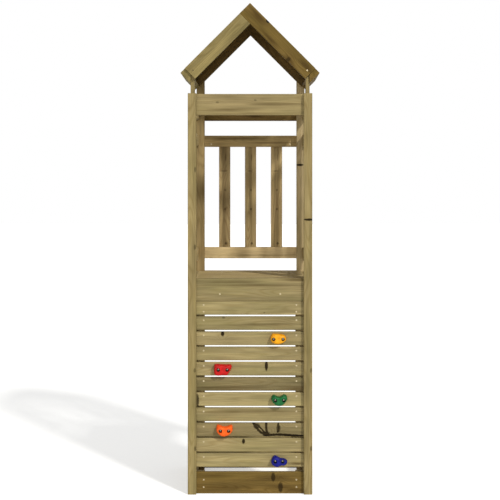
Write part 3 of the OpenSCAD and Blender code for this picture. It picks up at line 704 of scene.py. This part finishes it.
def makeHold(node, look, bolts):
    low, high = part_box(node)
    wall = high.y
    deepest = wall - low.y
    middle = (bolts[0] + bolts[1]) / 2
    rim = smoothRim(look["rim"], holdShape["steps"])
    skin = holdShape["skin"]
    work = bmesh.new()
    wearAndShade = work.verts.layers.float.new("edgeWearAndBaseShade")
    loops = []
    for share, depth in holdShape["profile"]:
        loop = []
        for point in rim:
            flat = point * share * millimetre
            bulge = noise.noise(Vector((flat.x * holdShape["bulgeScale"] + middle.x * 9,
                                        flat.y * holdShape["bulgeScale"], middle.z * 7)))
            uneven = holdShape["bulge"] * bulge * share * (1 if depth > 0.3 else 0)
            reach = depth * deepest * (1 + uneven) - skin
            saddle = holdShape["saddle"] * math.exp(-(flat.x / holdShape["saddleWidth"]) ** 2)
            saddle *= (1 - share) * depth
            out = min(max(reach * (1 - saddle), 0.0), deepest - skin)
            vert = work.verts.new((flat.x, -out, flat.y))
            # painted shade: the low flank where the hold meets the wall is marked for darkening
            vert[wearAndShade] = 0.6 if share > 0.9 and depth < 0.3 else 0.0
            loop.append(vert)
        loops.append(loop)
    steps = holdShape["steps"]
    for lower, upper in zip(loops, loops[1:]):
        for step in range(steps):
            after = (step + 1) % steps
            work.faces.new((lower[step], lower[after], upper[after], upper[step]))
    top = work.verts.new((0, -deepest * (1 - holdShape["saddle"]) + skin, 0))
    for step in range(steps):
        work.faces.new((loops[-1][step], loops[-1][(step + 1) % steps], top))
    work.faces.new(list(reversed(loops[0])))
    bmesh.ops.recalc_face_normals(work, faces=work.faces)
    mesh = bpy.data.meshes.new(node + "_moulded")
    work.to_mesh(mesh)
    work.free()
    piece = bpy.data.objects.new(node + "_moulded", mesh)
    scene.collection.objects.link(piece)
    cutters = []
    seat = holdShape["pocketSeat"]
    narrow = holdShape["pocketWidth"] / 2
    flare = holdShape["pocketFlare"] / 2
    rings = [(narrow, seat, "round"), (narrow, seat + holdShape["pocketStraight"], "round"),
             (flare, seat + holdShape["pocketRise"], "round"),
             (flare * holdShape["pocketWiden"], deepest + 0.004, "round")]
    for bolt in bolts:
        place = Vector((bolt.x - middle.x, 0, bolt.z - middle.z))
        mesh = turnedMesh("cutter", rings, holdShape["pocketSteps"], Vector((0, -1, 0)), place)
        cutter = bpy.data.objects.new("cutter", mesh)
        scene.collection.objects.link(cutter)
        cutters.append(cutter)
    cutAway(piece, cutters)
    smoothWithCreases(piece.data, holdShape["creaseAngle"])
    piece.data.materials.clear()
    pockets = [(bolt.x - middle.x, bolt.z - middle.z) for bolt in bolts]
    piece.data.materials.append(plasticMaterial(node + "Plastic", look, pockets))
    piece.location = (middle.x, wall, middle.z)
    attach(piece, "root")
    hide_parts(node)


def solidBox(solid):
    points = solid["points"]
    return (Vector([min(p[axis] for p in points) for axis in range(3)]),
            Vector([max(p[axis] for p in points) for axis in range(3)]))


boltSpots = []
for solid in islandsOf("hold_bolts"):
    low, high = solidBox(solid)
    boltSpots.append({"low": low, "high": high, "middle": (low + high) / 2})
for node, look in holdStyles.items():
    low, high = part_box(node)
    own = sorted([spot["middle"] for spot in boltSpots
                  if low.x < spot["middle"].x < high.x and low.z < spot["middle"].z < high.z],
                 key=lambda p: p.x)
    makeHold(node, look, own)
print("holds moulded")


def metalMaterial(name, bright, dull, roughness):
    made, tree, shader = freshMaterial(name)
    place = addNode(tree, "ShaderNodeTexCoord").outputs["Object"]
    cloud = stretchedNoise(tree, place, (420, 420, 420), 3.0)["Fac"]
    brushed = stretchedNoise(tree, place, (1800, 1800, 1800), 1.0)["Fac"]
    colour = blendColour(tree, spread(tree, cloud, 0.35, 0.7), linear(*bright), linear(*dull))
    bump = addNode(tree, "ShaderNodeBump", {"Height": brushed, "Distance": 0.00008, "Strength": 0.5})
    tree.links.new(colour, shader.inputs["Base Color"])
    tree.links.new(spread(tree, cloud, 0.3, 0.7, roughness, roughness + 0.15), shader.inputs["Roughness"])
    tree.links.new(bump.outputs[0], shader.inputs["Normal"])
    shader.inputs["Metallic"].default_value = 0.85
    return made


metalCrease = 32    # degrees, for bolts and screws


def joinMeshes(name, meshes, material):
    work = bmesh.new()
    for mesh in meshes:
        work.from_mesh(mesh)
        bpy.data.meshes.remove(mesh)
    mesh = bpy.data.meshes.new(name)
    work.to_mesh(mesh)
    work.free()
    smoothWithCreases(mesh, metalCrease)
    mesh.materials.append(material)
    piece = bpy.data.objects.new(name, mesh)
    scene.collection.objects.link(piece)
    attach(piece, "root")
    return piece


boltLook = {
    "headRadius": 0.0043,
    "headHeight": 0.005,
    "socket": 0.0024,
    "socketDepth": 0.0026,
    "shank": 0.003,
    "steps": 24,
}
boltSteel = metalMaterial("boltSteel", (188, 182, 166), (96, 88, 70), 0.34)
boltMeshes = []
for spot in boltSpots:
    seatPlane = spot["low"].y + boltLook["headHeight"]
    length = spot["high"].y - seatPlane
    head = boltLook["headRadius"]
    rings = [(boltLook["shank"] * 0.8, -length, "round"), (boltLook["shank"], -length + 0.0006, "round"),
             (boltLook["shank"], 0.0, "round"), (head * 0.97, 0.0, "round"), (head, 0.0004, "round"),
             (head, 0.0030, "round"), (head * 0.93, 0.0043, "round"), (head * 0.8, 0.0049, "round"),
             (boltLook["socket"] * 1.1, 0.005, "hexagon"), (boltLook["socket"], 0.0048, "hexagon"),
             (boltLook["socket"], 0.005 - boltLook["socketDepth"], "hexagon")]
    place = Vector((spot["middle"].x, seatPlane, spot["middle"].z))
    boltMeshes.append(turnedMesh("bolt", rings, boltLook["steps"], Vector((0, -1, 0)), place))
bolts = joinMeshes("hold_bolts_turned", boltMeshes, boltSteel)
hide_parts("hold_bolts")

screwLook = {
    "head": 0.0035,
    "headHeight": 0.0024,
    "shank": 0.002,
    "cross": 0.0019,
    "crossDepth": 0.0014,
    "steps": 24,
}
screwSteel = metalMaterial("screwSteel", (216, 204, 172), (170, 152, 114), 0.42)
# a darker copy of the screw steel: painted shade for the roof screws that sit in the roof's shade
shadedSteel = metalMaterial("shadedSteel", (104, 92, 66), (74, 62, 42), 0.5)


def makeScrews(node):
    groups = {"bright": [], "dull": []}
    for solid in islandsOf(node):
        low, high = solidBox(solid)
        sizes = high - low
        axis = max(range(3), key=lambda index: sizes[index])
        others = [index for index in range(3) if index != axis]
        middle = (low + high) / 2

        def widest(level):
            return max(max(abs(p[other] - middle[other]) for other in others)
                       for p in solid["points"] if abs(p[axis] - level) < 0.0002)
        headUp = widest(high[axis]) > widest(low[axis])
        outward = Vector([(1.0 if headUp else -1.0) if index == axis else 0.0 for index in range(3)])
        top = middle.copy()
        top[axis] = high[axis] if headUp else low[axis]
        length = sizes[axis]
        head = screwLook["head"]
        shank = screwLook["shank"]
        rings = [(0.0002, -length, "round"), (shank * 0.8, -length + 0.004, "round"),
                 (shank, -length + 0.006, "round"), (shank, -screwLook["headHeight"], "round"),
                 (head * 0.96, -0.0006, "round"), (head, -0.0003, "round"), (head * 0.93, 0.0, "round"),
                 (screwLook["cross"] * 1.12, 0.0, "cross"), (screwLook["cross"], -0.0003, "cross"),
                 (screwLook["cross"] * 0.5, -screwLook["crossDepth"], "cross")]
        # painted shade: roof screws at the back or on the left get the darker steel, for the roof's shade
        inShade = node == "roof_screws" and (middle.y > 0 or middle.x < 0)
        made = turnedMesh("screw", rings, screwLook["steps"], outward, top)
        groups["dull" if inShade else "bright"].append(made)
    for kind, meshes in groups.items():
        if meshes:
            piece = joinMeshes(f"{node}_{kind}", meshes, shadedSteel if kind == "dull" else screwSteel)
            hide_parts(node)


for node in ("wall_screws", "rear_screws", "side_screws", "deck_screws", "roof_screws"):
    makeScrews(node)
for node, material in (("hold_nuts", boltSteel), ("side_dowels", woodMaterial("dowelBeech", "headerPine"))):
    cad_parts[node].data.materials.clear()
    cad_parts[node].data.materials.append(material)
print("bolts and screws turned")


# Plain pale floor, a white surround for the eye and soft light from the upper right
studio = {
    "floorSize": 60.0,
    "floorColour": (238, 238, 236),
    "floorLift": 0.48,       # extra white on the floor for the eye, glossy and clear surfaces only
    "skyLight": 0.42,
    "sunStrength": 2.15,
    "sunAngle": 6.0,
    "sunFrom": (0.52, -0.72, 0.70),
    "fillStrength": 0.72,    # a broad lamp near eye height that reaches in under the roof
    "fillAngle": 30.0,
    "fillFrom": (-0.12, -1.0, 0.10),
    "lampColour": (1.0, 0.985, 0.955),
}


def seenDirectly(tree):
    rays = addNode(tree, "ShaderNodeLightPath").outputs
    either = calc(tree, "MAXIMUM", rays["Is Camera Ray"], rays["Is Glossy Ray"])
    return calc(tree, "MAXIMUM", either, rays["Is Transmission Ray"])


def makeStudio():
    mesh = bpy.data.meshes.new("floor")
    half = studio["floorSize"] / 2
    corners = [(-half, -half, 0), (half, -half, 0), (half, half, 0), (-half, half, 0)]
    mesh.from_pydata(corners, [], [(0, 1, 2, 3)])
    floor = bpy.data.objects.new("floor", mesh)
    scene.collection.objects.link(floor)
    made, tree, shader = freshMaterial("paleFloor")
    shader.inputs["Base Color"].default_value = linear(*studio["floorColour"])
    shader.inputs["Roughness"].default_value = 0.9
    shader.inputs["Specular IOR Level"].default_value = 0.0
    shader.inputs["Emission Color"].default_value = (1, 1, 1, 1)
    tree.links.new(calc(tree, "MULTIPLY", seenDirectly(tree), studio["floorLift"]),
                   shader.inputs["Emission Strength"])
    mesh.materials.append(made)
    world = bpy.data.worlds.new("whiteSurround")
    world.use_nodes = True
    scene.world = world
    tree = world.node_tree
    background = tree.nodes["Background"]
    background.inputs["Color"].default_value = (1, 1, 1, 1)
    tree.links.new(spread(tree, seenDirectly(tree), 0.0, 1.0, studio["skyLight"], 1.0),
                   background.inputs["Strength"])
    for name in ("sun", "fill"):
        light = bpy.data.lights.new(name + "Lamp", "SUN")
        light.energy = studio[name + "Strength"]
        light.angle = math.radians(studio[name + "Angle"])
        light.color = studio["lampColour"]
        lamp = bpy.data.objects.new(name + "Lamp", light)
        scene.collection.objects.link(lamp)
        lamp.rotation_euler = Vector(studio[name + "From"]).to_track_quat("Z", "Y").to_euler()


makeStudio()
print("studio lit")

bpy.context.view_layer.update()
